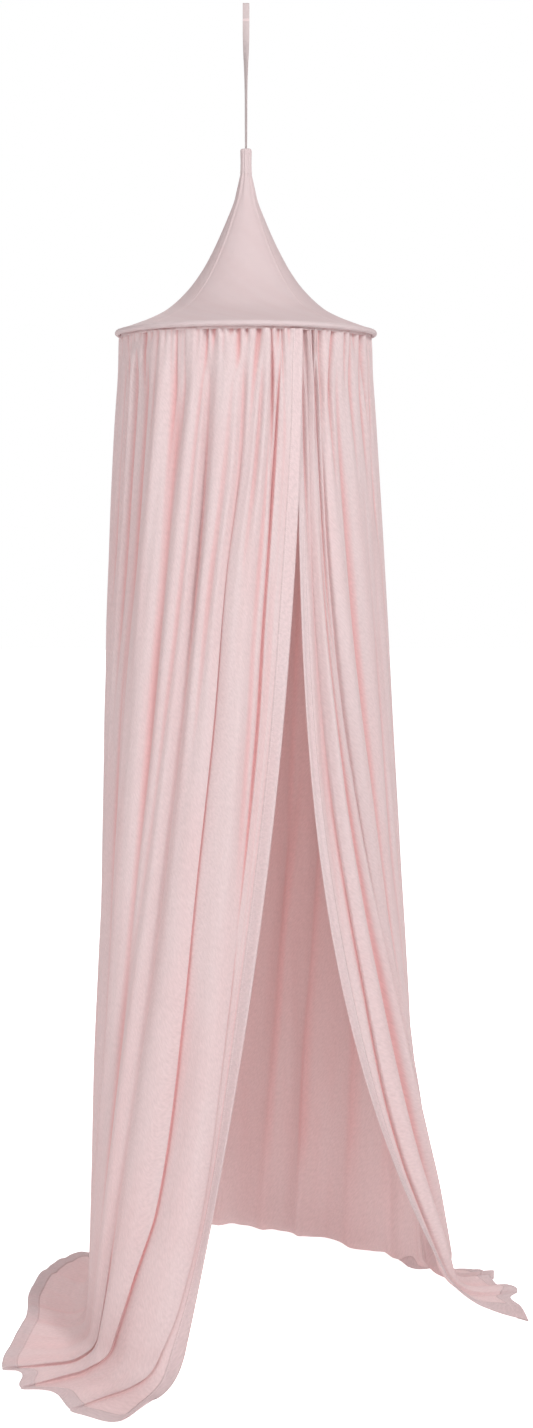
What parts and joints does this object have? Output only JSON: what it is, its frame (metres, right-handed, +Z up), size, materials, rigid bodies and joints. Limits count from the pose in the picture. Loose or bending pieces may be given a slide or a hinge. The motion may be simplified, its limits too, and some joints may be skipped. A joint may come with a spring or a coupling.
{
  "type": "bed crown canopy",
  "caption": "Hanging fabric bed canopy: flared cone crown on a wire hoop, with a long gathered curtain split at the front.",
  "frame": {"origin": "the point inside the tape's loop where a hook carries the canopy, on the hoop's axis", "axes": "+Z up along the hoop's axis; -Y is the front, where the curtain is split; +X is to the right seen from the front"},
  "size_m": [0.9727, 0.8536, 2.5267],
  "materials": {
    "tape_cotton": "woven cotton tape, matt",
    "stitch_thread": "sewing thread in a close zigzag",
    "cone_cotton": "smooth plain cotton, matt",
    "curtain_cotton": "fine crinkled cotton, matt",
    "hem_cotton": "the same cotton, folded twice and stitched",
    "heading_tape": "woven cotton tape",
    "hoop_wire": "drawn steel wire"
  },
  "bodies": {
    "strap": {"tape_upper": "tape_cotton", "loop_tack": "stitch_thread"},
    "crown": {"tape_lower": "tape_cotton", "neck_sleeve": "cone_cotton", "hoop_ring": "hoop_wire", "hoop_ferrule": "hoop_wire", "rim_casing": "cone_cotton", "heading_tape": "heading_tape", "cone_gore_1": "cone_cotton", "cone_gore_2": "cone_cotton", "cone_gore_3": "cone_cotton", "cone_gore_4": "cone_cotton", "back_left_panel": "curtain_cotton", "back_left_bottom_hem": "hem_cotton", "back_right_panel": "curtain_cotton", "back_right_bottom_hem": "hem_cotton"},
    "left_flap": {"left_front_panel": "curtain_cotton", "left_front_bottom_hem": "hem_cotton", "left_front_edge_hem": "hem_cotton"},
    "right_flap": {"right_front_panel": "curtain_cotton", "right_front_bottom_hem": "hem_cotton", "right_front_edge_hem": "hem_cotton"}
  },
  "joints": [
    {"name": "crown_swivel", "type": "hinge", "parent": "strap", "child": "crown", "pos_m": [0, 0, -0.12], "axis": [0, 0, 1], "range_deg": [-90, 90]},
    {"name": "left_flap_swing", "type": "hinge", "parent": "crown", "child": "left_flap", "pos_m": [-0.17512, 0.17077, -0.6544], "axis": [-0.0586, 0.0023, -0.9983], "range_deg": [0, 30]},
    {"name": "right_flap_swing", "type": "hinge", "parent": "crown", "child": "right_flap", "pos_m": [0.24452, -0.00631, -0.6544], "axis": [0.0482, 0.0699, -0.9964], "range_deg": [0, 12]}
  ]
}
